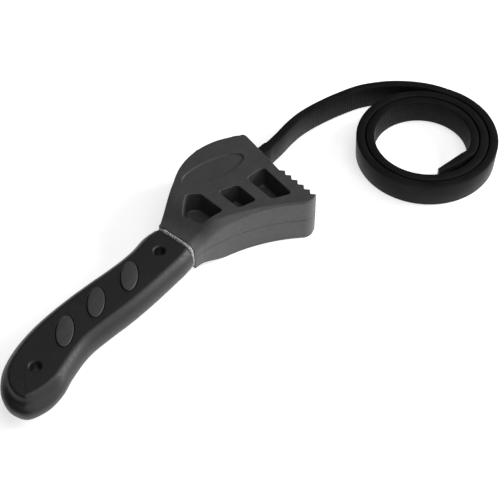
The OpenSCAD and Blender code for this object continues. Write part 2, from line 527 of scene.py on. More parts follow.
@dataclass(frozen=True)
class Finish:
    """A surface with a main colour, a second one in patches, a grain and a gloss that varies.

    Attributes:
        name: The material's name.
        colour: Main colour as an sRGB hex code.
        patch: Second colour, in soft patches.
        rough: Lowest and highest roughness.
        ior: Index of refraction.
        grain: Size of the surface grain in millimetres.
        relief: Height of the grain in millimetres.
        patches: Size of the patches in millimetres.
    """

    name: str
    colour: str
    patch: str
    rough: tuple[float, float]
    ior: float
    grain: float
    relief: float
    patches: float

    def places(self, tree: bpy.types.NodeTree) -> bpy.types.NodeSocket:
        """Returns the coordinates that the pattern lies on."""
        return add_node(tree, "TexCoord").outputs["Object"]

    def noise(
        self, tree: bpy.types.NodeTree, where: bpy.types.NodeSocket, size: float, detail: float = 2.0
    ) -> bpy.types.NodeSocket:
        """Adds a soft noise whose spots have a size in millimetres."""
        node = add_node(tree, "TexNoise", {"Vector": where}, scale=1 / (size * MM), detail=detail)
        return node.outputs["Fac"]

    def spread(
        self, tree: bpy.types.NodeTree, share: bpy.types.NodeSocket, low: float, high: float
    ) -> bpy.types.NodeSocket:
        """Maps a noise to a range.

        Args:
            tree: The material's node tree.
            share: The noise.
            low: Where the range starts.
            high: Where it ends.

        Returns:
            The mapped value.
        """
        limits = {"from_min": NOISE_LOW, "from_max": NOISE_HIGH, "to_min": low, "to_max": high}
        return add_node(tree, "MapRange", {"Value": share}, **limits).outputs["Result"]

    def both_colours(self, tree: bpy.types.NodeTree, share: bpy.types.NodeSocket) -> bpy.types.NodeSocket:
        """Mixes the main colour with the second one.

        Args:
            tree: The material's node tree.
            share: How much of the second colour there is.

        Returns:
            The mixed colour.
        """
        node = add_node(tree, "Mix", {"Factor": share}, data_type="RGBA")
        node.inputs[MIX_FIRST].default_value = linear(self.colour)
        node.inputs[MIX_SECOND].default_value = linear(self.patch)
        return node.outputs[MIX_RESULT]

    def colours(self, tree: bpy.types.NodeTree, where: bpy.types.NodeSocket) -> bpy.types.NodeSocket:
        """Returns the colour over the surface."""
        share = self.spread(tree, self.noise(tree, where, self.patches, 4.0), 0.0, 1.0)
        return self.both_colours(tree, share)

    def heights(self, tree: bpy.types.NodeTree, where: bpy.types.NodeSocket) -> bpy.types.NodeSocket:
        """Returns the height of the grain over the surface."""
        return self.noise(tree, where, self.grain, 3.0)

    def tune(self, shader: bpy.types.Node) -> None:
        """Sets what this surface alone has on the shader."""

    def material(self) -> bpy.types.Material:
        """Builds the material, or returns it if it was built before."""
        made = bpy.data.materials.get(self.name)
        if made:
            return made
        made = bpy.data.materials.new(self.name)
        made.use_nodes = True
        tree = made.node_tree
        tree.nodes.clear()
        where = self.places(tree)
        bump = add_node(
            tree, "Bump", {"Height": self.heights(tree, where)}, strength=1.0, distance=self.relief * MM
        )
        gloss = self.spread(tree, self.noise(tree, where, 3 * self.grain), *self.rough)
        shader = add_node(
            tree,
            "BsdfPrincipled",
            {"Base Color": self.colours(tree, where), "Roughness": gloss, "Normal": bump.outputs["Normal"]},
            ior=self.ior,
        )
        self.tune(shader)
        add_node(tree, "OutputMaterial", {"Surface": shader.outputs["BSDF"]})
        made.diffuse_color = linear(self.colour)
        return made

    def dress(self, piece: bpy.types.Object) -> None:
        """Gives a piece this finish alone."""
        piece.data.materials.clear()
        piece.data.materials.append(self.material())


@dataclass(frozen=True)
class GlassFilledNylon(Finish):
    """Injection-moulded nylon with short glass fibres: charcoal, matte, with faint flow streaks."""

    streak_length: float = 26.0
    streak_width: float = 1.1
    streak_share: float = 0.55
    patch_share: float = 0.45

    def colours(self, tree: bpy.types.NodeTree, where: bpy.types.NodeSocket) -> bpy.types.NodeSocket:
        """Draws the flow out along the handle's line, as the melt ran.

        Args:
            tree: The material's node tree.
            where: The coordinates.

        Returns:
            The colour over the surface.
        """
        drawn_out = (self.streak_width / self.streak_length, 1.0, 1.0)
        along = add_node(tree, "Mapping", {"Vector": where}, scale=drawn_out).outputs["Vector"]
        streak = self.spread(tree, self.noise(tree, along, self.streak_width), 0.0, self.streak_share)
        patch = self.spread(tree, self.noise(tree, where, self.patches, 4.0), 0.0, self.patch_share)
        both = add_node(tree, "Math", {0: streak, 1: patch}, operation="ADD").outputs["Value"]
        return self.both_colours(tree, both)


@dataclass(frozen=True)
class SoftGripRubber(Finish):
    """Thermoplastic rubber moulded over nylon: black, satin, with a fine eroded grain."""

    def tune(self, shader: bpy.types.Node) -> None:
        """Adds a firm gloss, and the faint bloom that soft rubber shows at a slant."""
        shader.inputs["Specular IOR Level"].default_value = 0.6
        shader.inputs["Sheen Weight"].default_value = 0.02
        shader.inputs["Sheen Roughness"].default_value = 0.5


@dataclass(frozen=True)
class MouldedStrapRubber(Finish):
    """Compression-moulded black rubber: dark and smooth, with fine drawn lines along the strap."""

    drawn_out: float = 0.12

    def places(self, tree: bpy.types.NodeTree) -> bpy.types.NodeSocket:
        """Returns the strap's own lengthwise and crosswise coordinates, in metres."""
        return add_node(tree, "UVMap", uv_map="strap").outputs["UV"]

    def heights(self, tree: bpy.types.NodeTree, where: bpy.types.NodeSocket) -> bpy.types.NodeSocket:
        """Draws the grain out along the strap."""
        scale = (self.drawn_out, 1.0, 1.0)
        along = add_node(tree, "Mapping", {"Vector": where}, scale=scale).outputs["Vector"]
        return self.noise(tree, along, self.grain, 3.0)

    def tune(self, shader: bpy.types.Node) -> None:
        """Dulls the reflection, as the powdery bloom on moulded rubber does."""
        shader.inputs["Specular IOR Level"].default_value = 0.06


@dataclass(frozen=True)
class SpeckledPlastic(Finish):
    """Pale moulded plastic with mica flecks, painted into its colour as small light and dark spots: partly
    the flecks' own tone, partly painted glints where they sparkle.
    """

    def colours(self, tree: bpy.types.NodeTree, where: bpy.types.NodeSocket) -> bpy.types.NodeSocket:
        """Scatters the mica flecks, drawn larger than real ones so that they show, with the glints of their
        sparkle painted into the colour.

        Args:
            tree: The material's node tree.
            where: The coordinates.

        Returns:
            The colour over the surface.
        """
        # Fleck tone and painted glints together, as light and dark spots in the base colour.
        flakes_and_glints = add_node(tree, "TexVoronoi", {"Vector": where}, scale=1 / (self.grain * MM))
        return self.both_colours(tree, self.spread(tree, flakes_and_glints.outputs["Distance"], 0.0, 1.0))


@dataclass(frozen=True)
class PaleTable(Finish):
    """Opal acrylic of a light table: white, matte and lit from below, so shadows hardly show."""

    glow: float = 0.68

    def tune(self, shader: bpy.types.Node) -> None:
        """Lights the table from below."""
        shader.inputs["Emission Color"].default_value = linear(self.colour)
        shader.inputs["Emission Strength"].default_value = self.glow


NYLON = GlassFilledNylon(
    name="charcoal_glass_filled_nylon", colour="#3c3c3d", patch="#49494a", rough=(0.42, 0.56), ior=1.53,
    grain=0.45, relief=0.02, patches=9.0,
)
GRIP = SoftGripRubber(
    name="black_soft_grip_rubber", colour="#161617", patch="#1c1c1d", rough=(0.42, 0.55), ior=1.5,
    grain=0.4, relief=0.018, patches=11.0,
)
STRAP = MouldedStrapRubber(
    name="black_moulded_strap_rubber", colour="#161617", patch="#1f1f20", rough=(0.34, 0.48), ior=1.52,
    grain=0.5, relief=0.012, patches=14.0,
)
COLLAR = SpeckledPlastic(
    name="pale_speckled_plastic", colour="#c4c4c4", patch="#6c6c6c", rough=(0.3, 0.5), ior=1.49,
    grain=0.7, relief=0.05, patches=3.0,
)
TABLE = PaleTable(
    name="opal_acrylic_table", colour="#f8f8f8", patch="#fcfcfc", rough=(0.7, 0.8), ior=1.45,
    grain=2.0, relief=0.004, patches=60.0,
)


# ---------------------------------------------------------------- sizes from the frame


@dataclass(frozen=True)
class ToolSizes:
    """Sizes that the frame already holds.

    Attributes:
        spacing: Distance between the two hang holes.
        hole_radius: Radius of a hang hole.
        head_half: Half the thickness of the head.
        grip_half: Half the thickness of the grip.
        strap_half: Half the width of the strap.
    """

    spacing: float
    hole_radius: float
    head_half: float
    grip_half: float
    strap_half: float

    @classmethod
    def from_frame(cls) -> "ToolSizes":
        """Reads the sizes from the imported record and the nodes' boxes."""
        mounts = {mount["name"]: mount for mount in frame["record"]["mounts"]}
        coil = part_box("strap_coil")
        return cls(
            spacing=mounts["front_hole"]["pos_m"][0] / MM,
            hole_radius=mounts["hang_hole"]["dims"]["r_mm"],
            head_half=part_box("head_frame")[1].z / MM,
            grip_half=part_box("grip_sleeve")[1].z / MM,
            strap_half=(coil[1].z - coil[0].z) / MM / 2,
        )


@dataclass
class Piece:
    """What every piece of the tool shares."""

    sizes: ToolSizes

    def at_head(self, points: Outline) -> Outline:
        """Shifts plan points that are measured from the front hang hole."""
        return [p + Vector((self.sizes.spacing, *[0] * (len(p) - 1))) for p in points]

    def ride(self, piece: bpy.types.Object, body: Body, slot: Slot, finish: Finish) -> None:
        """Gives a finished piece its material and its body."""
        finish.dress(piece)
        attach(piece, body.value)
        log.info("%s: %d faces", piece.name, len(piece.data.polygons))


@dataclass
class NeckPlane:
    """The plane across the handle where head, collar and grip meet."""

    centre: Vector
    tilt: float = -2.0
    width: float = 25.0
    half_thickness: float = 8.5

    @property
    def normal(self) -> Vector:
        """Returns the plane's normal, towards the head."""
        return turned(Vector((1, 0)), self.tilt).to_3d()

    def place(self, along: float) -> Vector:
        """Returns the place on the handle's line at a distance in front of the plane."""
        return self.centre.to_3d() + along * self.normal

    def section_ring(self, along: float, inwards: float, corner: float = 6.0) -> list[Vector]:
        """Draws a rounded section that stands across the handle.

        Args:
            along: Distance in front of the plane.
            inwards: How much smaller than the neck it is, on each side.
            corner: How far from a corner its easing starts.

        Returns:
            The section's places.
        """
        wide, high = self.width / 2 - inwards, self.half_thickness - inwards
        corners = plan((wide, high), (-wide, high), (-wide, -high), (wide, -high))
        across = turned(Vector((0, 1)), self.tilt).to_3d()
        flat = eased(corners, corner - inwards, 8)
        return [self.place(along) + p.x * across + Vector((0, 0, p.y)) for p in flat]


# ---------------------------------------------------------------- strap


@dataclass
class Strap(Piece):
    """The rubber strap, one moulding: bead, root, free length and coiled end.

    Places are measured from the front hang hole. The route runs
    from the bead to the tip, so the gripping face with its ribs is on the right-hand side.
    """

    thickness: float = 5.0
    root_thickness: float = 6.0
    bead_radius: float = 3.6
    bead_half_height: float = 7.75
    root: Outline = field(
        default_factory=lambda: plan((67.5, 27.3), (75.5, 16.6), (81, 9.3), (85.2, 5.4), (90, 3), (94.6, 2.5))
    )
    run: list[tuple[float, float, float]] = field(
        default_factory=lambda: [
            (97, 2.3, 0), (106, 2.6, 0.06), (118, 3.8, 0.24), (130, 3.9, 0.48), (144, 1.8, 0.74),
            (158, -2.2, 0.92), (171, -8, 1), (182.5, -17.8, 1), (190.4, -28.2, 1), (195.4, -38.2, 1),
        ]
    )
    slot_exit: tuple[float, float] = (85.2, 4.4)
    coil_centre: Vector = field(default_factory=lambda: Vector((160, -58.4)))
    coil_start_radius: float = 26.4
    coil_pitch: float = 5.4
    coil_tip_angle: float = -129.0
    coil_turns: float = 2.4
    tail_turn: float = 0.19
    tail_face: Outline = field(default_factory=lambda: plan((166.8, -82.3), (143.7, -77.5)))
    tail_thickness: float = 2.9
    tail_slant: float = 2.2
    lean: float = 2.0
    corner: float = 0.85
    rib_pitch: float = 1.3
    rib_depth: float = 0.22
    ribs_from: float = 52.0
    ribs_grow_over: float = 60.0
    ribs_fade_over: float = 3.0
    rows_per_rib: int = 4
    thinning_from: float = 0.45
    knots_per_turn: int = 24
    tail_stretches: int = 4
    crease_angle: float = 38.0
    flex_reach: float = 9.0
    rows_per_path_point: int = 8

    @property
    def drop(self) -> float:
        """Returns how far the coil lies below the slot."""
        return self.sizes.head_half - self.sizes.strap_half

    def coil_point(self, turn: float) -> Vector:
        """Returns the middle of the coil's strap at a number of turns from where its tip would be."""
        angle = math.radians(self.coil_tip_angle + 360 * turn)
        radius = self.coil_start_radius + self.coil_pitch * turn
        return self.coil_centre + radius * Vector((math.cos(angle), math.sin(angle)))

    def tail_point(self, share: float) -> Vector:
        """Returns the middle of the straight tail at a share of its length."""
        start, end = self.tail_face
        along = (end - start).normalized()
        outwards = Vector((-along.y, along.x))
        half = self.half_thickness_of_tail(share)
        return start + share * (end - start) + half * outwards

    def half_thickness_of_tail(self, share: float) -> float:
        """Returns half the thickness of the tail, which thins towards the tip."""
        thinned = smooth((share - self.thinning_from) / (1 - self.thinning_from))
        return mix(self.thickness, self.tail_thickness, thinned) / 2

    def knots(self) -> list[Vector]:
        """Lists the route's knots with half the strap's thickness there as a fourth number."""
        root, thick = self.root_thickness / 2, self.thickness / 2
        ahead = (self.root[0] - self.root[1]).normalized() * self.bead_radius
        made = [Vector((*p, 0, root)) for p in [self.root[0] + ahead, *self.root]]
        made += [Vector((x, y, -share * self.drop, thick)) for x, y, share in self.run]
        steps = round((self.coil_turns - self.tail_turn) * self.knots_per_turn)
        for i in range(steps + 1):
            turn = mix(self.coil_turns, self.tail_turn, i / steps)
            made.append(Vector((*self.coil_point(turn), -self.drop, thick)))
        for i in range(self.tail_stretches + 1):
            share = i / self.tail_stretches
            made.append(Vector((*self.tail_point(share), -self.drop, self.half_thickness_of_tail(share))))
        return made

    def route(self) -> tuple[np.ndarray, np.ndarray]:
        """Samples the route evenly, with a few places to each rib.

        Returns:
            Rows of place and half thickness, and the distance along the strap at each row.
        """
        smoothing = 12
        fine = np.array([tuple(p) for p in open_curve(self.at_head(self.knots()), smoothing)])
        gaps = np.linalg.norm(np.diff(fine[:, :3], axis=0), axis=1)
        run = np.concatenate([[0], np.cumsum(gaps)])
        rows = round(run[-1] / self.rib_pitch * self.rows_per_rib) + 1
        along = np.linspace(0, run[-1], rows)
        return np.stack([np.interp(along, run, column) for column in fine.T], 1), along

    def section(self, thin: float, high: float, rib: float) -> list[tuple[float, float]]:
        """Draws the strap's section: across it, positive to the gripping side, and up.

        Args:
            thin: Half the thickness.
            high: Half the width.
            rib: How far the gripping face is drawn in between two ribs.

        Returns:
            The section's points.
        """
        ease = min(self.corner, 0.6 * thin)
        lower = 0.3 * ease
        face = thin - rib
        return [
            (face - ease, -high), (face - lower, -high + lower), (face, -high + ease),
            (face, 0.0),
            (face, high - ease), (face - lower, high - lower), (face - ease, high),
            (ease - thin, high), (lower - thin, high - lower), (-thin, high - ease),
            (-thin, 0.0),
            (-thin, ease - high), (lower - thin, lower - high), (ease - thin, -high),
        ]

    def half_sizes(self, distance: float, thick: float) -> tuple[float, float]:
        """Returns half the thickness and half the width at a distance along the strap."""
        from_bead = distance - self.bead_radius
        chord = math.sqrt(max(self.bead_radius**2 - from_bead**2, 0.1))
        if from_bead < 0:
            return chord, self.bead_half_height
        high = self.bead_half_height if chord > thick * 0.8 else self.sizes.strap_half
        return max(chord, thick), high

    def build(self) -> bpy.types.Object:
        """Returns:
            The strap.
        """
        rows, along = self.route()
        tangents = np.gradient(rows[:, :3], axis=0)
        settled = along[-1] - 2 * self.tail_thickness
        vertices, lengths, arounds = [], [], []
        for row, tangent, distance in zip(rows, tangents, along):
            place = Vector(row[:3])
            ahead = Vector((tangent[0], tangent[1], 0)).normalized()
            grip_side = Vector((ahead.y, -ahead.x, 0))
            coiled = smooth(-place.z / self.drop)
            tilt = math.radians(self.lean * coiled)
            up = Vector((0, 0, math.cos(tilt))) - grip_side * math.sin(tilt)
            side = grip_side * math.cos(tilt) + Vector((0, 0, math.sin(tilt)))
            thin, high = self.half_sizes(distance, row[3])
            rest = Vector((0, 0, thin * math.sin(tilt) + high * (1 - math.cos(tilt))))
            wave = 0.5 - 0.5 * math.cos(math.tau * distance / self.rib_pitch)
            faded = smooth((distance - self.ribs_from) / self.ribs_grow_over)
            faded *= smooth((settled - distance) / self.ribs_fade_over)
            rib = self.rib_depth * wave * faded
            slant = self.tail_slant * smooth((distance - settled) / (along[-1] - settled))
            for across, rise in self.section(thin, high, rib):
                shift = ahead * slant * (0.5 - 0.5 * across / thin)
                vertices.append((place + rest + side * across + up * rise + shift) * MM)
                lengths.append(distance)
                arounds.append(rise if across > 0 else 3 * high - rise)
        return self.skin(vertices, lengths, arounds, rows)

    def skin(
        self, vertices: list[Vector], lengths: list[float], arounds: list[float], rows: np.ndarray
    ) -> bpy.types.Object:
        """Makes the strap's mesh from its rings.

        Args:
            vertices: The rings' places in metres, ring after ring.
            lengths: Distance along the strap at each vertex.
            arounds: Distance round the section at each vertex.
            rows: The route.

        Returns:
            The strap.
        """
        n = len(self.section(1.0, 1.0, 0.0))
        count = len(vertices) // n
        faces = [
            (k * n + i, (k + 1) * n + i, (k + 1) * n + (i + 1) % n, k * n + (i + 1) % n)
            for k in range(count - 1)
            for i in range(n)
        ]
        faces += [tuple(range(n)), tuple(range(count * n - 1, (count - 1) * n - 1, -1))]
        mesh = bpy.data.meshes.new("strap")
        mesh.from_pydata(vertices, [], faces)
        layer = mesh.uv_layers.new(name="strap")
        for loop in mesh.loops:
            i = loop.vertex_index
            layer.data[loop.index].uv = (lengths[i] * MM, arounds[i] * MM)
        strap = bpy.data.objects.new("strap", mesh)
        bpy.context.scene.collection.objects.link(strap)
        make_active(strap)
        bpy.ops.object.mode_set(mode="EDIT")
        bpy.ops.mesh.select_all(action="SELECT")
        bpy.ops.mesh.normals_make_consistent(inside=False)
        bpy.ops.object.mode_set(mode="OBJECT")
        bpy.ops.object.shade_smooth_by_angle(angle=math.radians(self.crease_angle))
        STRAP.dress(strap)
        self.declare(strap, rows)
        log.info("%s: %d faces", strap.name, len(mesh.polygons))
        return strap

    def declare(self, strap: bpy.types.Object, rows: np.ndarray) -> None:
        """Bakes the strap's transform and hides the frame's strap parts.

        Args:
            strap: The strap.
            rows: The route; not used.
        """
        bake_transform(strap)
        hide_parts("strap_root", "strap_run", "strap_coil")
        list(self.at_head(plan(self.slot_exit))[0] * MM)


# ---------------------------------------------------------------- head


@dataclass
class Head(Piece):
    """The head of the frame moulding, with its jaw, pockets, badge recess, strap slot and neck."""

    neck: NeckPlane
    nose: Vector = field(default_factory=lambda: Vector((88.8, 13.5)))
    nose_ease: float = 2.2
    jaw_start: Vector = field(default_factory=lambda: Vector((78.8, -17.7)))
    jaw_angle: float = -99.2
    tooth_count: int = 6
    tooth_pitch: float = 4.7
    tooth_height: float = 2.0
    tooth_ease: float = 0.3
    shoulder: tuple[float, float] = (14.0, 33.0)
    wide_edge: float = 5.5
    back_edge: float = 1.1
    under_edge: float = 0.5
    jaw_edge: float = 0.3
    wall_draft: float = 0.06
    seam_height: float = 0.12
    web: float = 3.0
    pocket_ease: float = 2.4
    badge_depth: float = 0.8
    bead_seat: tuple[float, float] = (67.5, 27.3)
    slot_clearance: float = 0.6
    seat_clearance: float = 0.4
    hump_centre: Vector = field(default_factory=lambda: Vector((58, -12.5)))
    hump_radius: float = 39.7
    belly_centre: Vector = field(default_factory=lambda: Vector((-2.8, -108)))
    belly_radius: float = 96.3
    heel_centre: Vector = field(default_factory=lambda: Vector((72.3, -38.3)))
    heel_radius: float = 6.2
    neck_bevel: float = 0.4
    core_inset: float = 2.5
    crease_angle: float = 33.0
    pocket_draft: float = 0.5
    pocket_foot: float = 1.3
    pocket_rim: float = 0.45
    badge_centre: tuple[float, float] = (57.5, 10.8)
    badge_half: tuple[float, float] = (19.0, 6.8)
    badge_tilt: float = -20.0
    badge_draft: float = 0.12
    badge_edge: float = 0.3
    mark_centre: tuple[float, float] = (30.6, -1.4)
    mark_radius: float = 3.1
    mark_heights: tuple[float, float] = (1.25, 1.6)

    def teeth(self) -> Outline:
        """Lists the jaw's teeth from the last root to the first, each corner a little eased."""
        along = turned(Vector((1, 0)), self.jaw_angle)
        out = Vector((-along.y, along.x))
        roots = [self.jaw_start + i * self.tooth_pitch * along for i in range(self.tooth_count)]
        tips = [p + self.tooth_pitch / 2 * along + self.tooth_height * out for p in roots]
        corners = [p for pair in zip(reversed(tips), reversed(roots)) for p in pair]
        inner = zip(corners, corners[1:], corners[2:])
        softened = [point for three in inner for point in eased_corner(*three, self.tooth_ease, 1)]
        return [corners[0], *softened, corners[-1]]

    def outline(self) -> Outline:
        """Draws the head's outline, with its neck run on past the neck plane."""
        neck, width = self.neck.centre - Vector((self.sizes.spacing, 0)), self.neck.width
        past = 8.0
        top_edge = Vector((math.cos(math.radians(134)), math.sin(math.radians(134))))
        nose = eased_corner(self.teeth()[-1], self.nose, self.nose + top_edge, self.nose_ease)
        return self.at_head(
            [
                *nose,
                *arc(self.hump_centre, self.hump_radius, 44, 118, 36),
                neck + turned(Vector((1, width / 2)), self.neck.tilt),
                neck + turned(Vector((-past, width / 2)), self.neck.tilt),
                neck + turned(Vector((-past, -width / 2)), self.neck.tilt),
                neck + turned(Vector((0, -width / 2)), self.neck.tilt),
                *arc(self.belly_centre, self.belly_radius, 78.5, 44, 28)[1:],
                *arc(self.heel_centre, self.heel_radius, 222, 292, 12),
                *self.teeth(),
            ]
        )

    def edge_radius(self, point: Vector, wide: float) -> float:
        """Returns the radius of the rounded edge at a place of the outline.

        Args:
            point: The place.
            wide: Radius on the belly beside the neck, from where it narrows to the heel.

        Returns:
            The radius, which is fine at the jaw.
        """
        local = point.to_2d() - Vector((self.sizes.spacing, 0))
        before_jaw = (local - self.jaw_start).dot(turned(Vector((0, 1)), self.jaw_angle))
        belly = smooth((-local.y - 4) / 6) * (1 - smooth((local.x - 16) / 48))
        back = min(self.back_edge, wide)
        return mix(mix(back, wide, belly), self.jaw_edge, smooth((before_jaw + 3) / 3))

    def rim(self, outline: Outline, wide: float) -> list[list[Vector]]:
        """Stacks the rings of one rounded edge, whose rounding stays round where the head is thinned."""
        reach = [self.edge_radius(p, wide) for p in outline]
        full = self.sizes.head_half
        rise = [r * full / self.thickness_at(p.x) for r, p in zip(reach, outline)]
        return rim_rings(moved_in(outline, self.wall_draft), full, reach, rise)

    def shell(self) -> bpy.types.Object:
        """Raises the head's shell at full thickness all along, with its seam line and rounded edges."""
        outline = self.outline()
        seam = [
            level(outline, -self.seam_height),
            level(moved_in(outline, -self.seam_height), 0.0),
            level(outline, self.seam_height),
        ]
        under = mirrored(self.rim(outline, self.under_edge))
        return loft("head", under + seam + self.rim(outline, self.wide_edge))

    def thickness_at(self, x: float) -> float:
        """Returns half the head's thickness at a distance along the handle."""
        start, end = self.shoulder
        share = smooth((x - self.sizes.spacing - start) / (end - start))
        return mix(self.neck.half_thickness, self.sizes.head_half, share)

    def pocket_outlines(self) -> list[Outline]:
        """Lists the three pockets, from the neck to the jaw."""
        return [
            plan((34.2, 10.4), (23.6, 4.2), (24.6, -8), (37.6, -12), (39.5, 5.3)),
            plan((46.3, -1.5), (44, -17.2), (54, -21.2), (56.5, -6.5)),
            plan((63.4, -7.4), (59.6, -27), (69.2, -32.9), (75.2, -9.7)),
        ]

    def pocket_outline(self, corners: Outline, inwards: float) -> Outline:
        """Draws a pocket's outline, moved in by a distance and then eased."""
        return eased(moved_in(corners, inwards), self.pocket_ease)

    def cutters(self) -> list[bpy.types.Object]:
        """Makes the shells that are cut out of the head: pockets, badge recess and ejector marks.

        Returns:
            The shells.
        """
        top, made = self.sizes.head_half, []
        for i, corners in enumerate(self.pocket_outlines()):
            outline = partial(self.pocket_outline, self.at_head(corners))
            for way in (1, -1):
                floor = way * self.web / 2
                shape = self.pocket_draft, self.pocket_foot, self.pocket_rim
                rings = recess_rings(outline, floor, way * top, *shape)
                made.append(loft(f"pocket_{i}", rings))
        centre = self.at_head(plan(self.badge_centre))[0]
        badge = partial(oval_inside, centre, self.badge_half, self.badge_tilt)
        shape = self.badge_draft, self.badge_edge, self.badge_edge
        made.append(loft("badge", recess_rings(badge, top - self.badge_depth, top, *shape)))
        pin = oval(self.at_head(plan(self.mark_centre))[0], (self.mark_radius,) * 2, 0, 40)
        for way in (1, -1):
            made.append(loft("ejector_mark", [level(pin, way * height) for height in self.mark_heights]))
        return made

    def slot_cutters(self, strap: Strap) -> list[bpy.types.Object]:
        """Makes the strap's slot and the seat of its bead.

        Args:
            strap: The strap that they hold.

        Returns:
            The two shells.
        """
        seat = Vector(self.bead_seat)
        out = Vector(strap.slot_exit)
        along = (out - seat).normalized()
        side = Vector((-along.y, along.x))
        reach = strap.root_thickness / 2 + self.slot_clearance
        corners = [
            seat - 8 * along + reach * side, *plan((57.5, 34), (57.5, -3), (82.4, -7), (96, -10.4)),
            out + 6 * along + reach * side,
        ]
        half = self.sizes.strap_half + self.slot_clearance
        outline = eased(self.at_head(corners), 1.2, 3)
        slot = loft("slot", [level(outline, -half), level(outline, half)])
        seat_radius = strap.bead_radius + self.seat_clearance
        seat_half = strap.bead_half_height + self.seat_clearance
        ring = oval(self.at_head([seat])[0], (seat_radius, seat_radius), 0, 40)
        return [slot, loft("bead_seat", [level(ring, -seat_half), level(ring, seat_half)])]

    def slope(self, head: bpy.types.Object) -> None:
        """Thins the head towards its neck, after cutting its long faces where they will bend."""
        start, end = self.shoulder
        cuts = 14
        for i in range(cuts + 1):
            x = self.sizes.spacing + mix(start, end, i / cuts)
            bisect(head, Vector((x, 0, 0)), Vector((1, 0, 0)))
        for vertex in head.data.vertices:
            vertex.co.z *= self.thickness_at(vertex.co.x / MM) / self.sizes.head_half

    def build(self, strap: Strap) -> bpy.types.Object:
        """Builds the head, cuts what it holds and joins the core that runs through the collar.

        Args:
            strap: The strap that the head holds.

        Returns:
            The head.
        """
        head = self.shell()
        face, normal = self.neck.place(0), self.neck.normal
        bisect(head, face, normal, drop=True)
        bevel_on_plane(head, face, normal, self.neck_bevel, 3)
        combine(head, self.cutters())
        self.slope(head)
        combine(head, self.slot_cutters(strap))
        sections = [self.neck.section_ring(along, self.core_inset, 4.0) for along in (-4.0, 1.0)]
        core = loft("neck_core", sections)
        combine(head, [core], "UNION")
        smooth_shading(head, self.crease_angle)
        self.ride(head, Body.WRENCH, Slot.FRAME, NYLON)
        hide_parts("head_frame")
        return head


# ---------------------------------------------------------------- handle


@dataclass
class Collar(Piece):
    """The pale crowned band between head and grip."""

    neck: NeckPlane
    length: float = 2.15
    clearance: float = 0.15
    crown: float = 0.7
    roundness: float = 0.96
    hole_inset: float = 2.4

    def build(self) -> bpy.types.Object:
        """Builds the band as a crowned disc with the neck's core cut out of it.

        Returns:
            The band.
        """
        steps = 8
        rings = []
        for i in range(steps + 1):
            share = 2 * i / steps - 1
            along = -self.clearance - self.length / 2 + share * self.length / 2
            inwards = self.crown * (1 - math.sqrt(1 - self.roundness * share * share))
            rings.append(self.neck.section_ring(along, inwards))
        band = loft("collar", rings)
        sections = [self.neck.section_ring(along, self.hole_inset, 4.0) for along in (-5.0, 1.0)]
        combine(band, [loft("collar_hole", sections)])
        smooth_shading(band, 40)
        self.ride(band, Body.WRENCH, Slot.COLLAR, COLLAR)
        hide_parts("collar_band")
        return band


